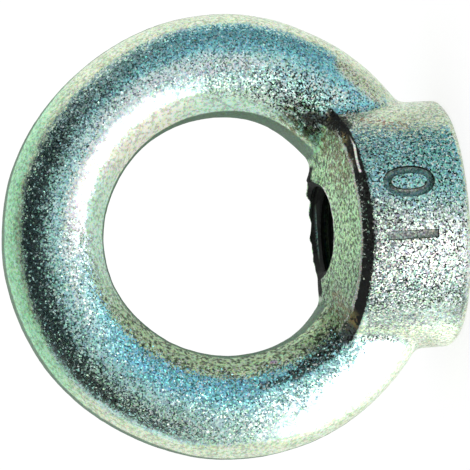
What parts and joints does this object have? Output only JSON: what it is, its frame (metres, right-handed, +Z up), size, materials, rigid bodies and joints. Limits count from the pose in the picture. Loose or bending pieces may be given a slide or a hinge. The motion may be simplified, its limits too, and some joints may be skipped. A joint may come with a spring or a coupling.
{
  "type": "lifting eye nut",
  "caption": "Forged steel ring on a round collar with a through-threaded hole and a flat seating face, for screwing onto a stud as a lifting point.",
  "frame": {"origin": "centre of the round seating face, where the thread axis meets it", "axes": "+Z up the thread axis to the ring, X across the ring and Y through its eye; the ring lies in the XZ plane"},
  "size_m": [0.045, 0.025, 0.0453],
  "materials": {
    "zinc_steel": "zinc plated over a blasted forging, fine bright grain with blue-green passivation tints and brown stains"
  },
  "bodies": {
    "root": {"eye_nut": "zinc_steel"}
  },
  "joints": []
}
